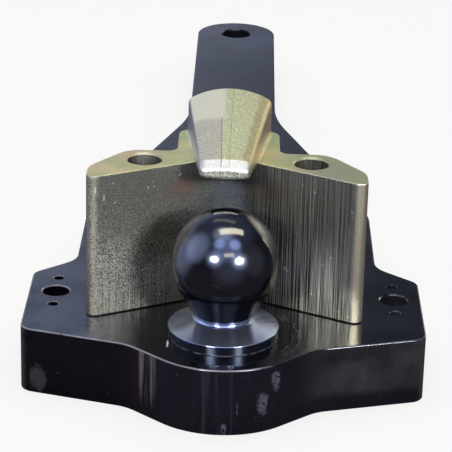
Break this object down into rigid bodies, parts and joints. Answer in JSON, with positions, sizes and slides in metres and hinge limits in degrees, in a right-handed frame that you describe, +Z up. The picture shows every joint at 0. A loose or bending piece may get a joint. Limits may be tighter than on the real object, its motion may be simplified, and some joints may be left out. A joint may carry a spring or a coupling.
{
  "type": "ball hitch plate",
  "caption": "Thick drawbar plate with a coupling ball at its round nose, a V-shaped guide block whose beak holds the trailer socket down, and a tongue with a pin hole.",
  "frame": {"origin": "centre of the coupling ball", "axes": "+Y towards the tongue and its pin hole, +Z up along the ball's axis, +X to the right seen from the ball end"},
  "size_m": [0.304, 0.8909, 0.2006],
  "materials": {
    "black_paint": "glossy black paint on steel plate, worn pale along the top edges",
    "yellow_zinc": "yellow-passivated zinc on a forged and milled steel block",
    "black_gloss": "polished black, mirror-like",
    "bare_steel": "zinc-plated steel"
  },
  "bodies": {
    "root": {"drawbar_plate": "black_paint", "guide_block": "yellow_zinc", "coupling_ball": "black_gloss", "ball_washer": "bare_steel", "ball_nut": "bare_steel"}
  },
  "joints": []
}
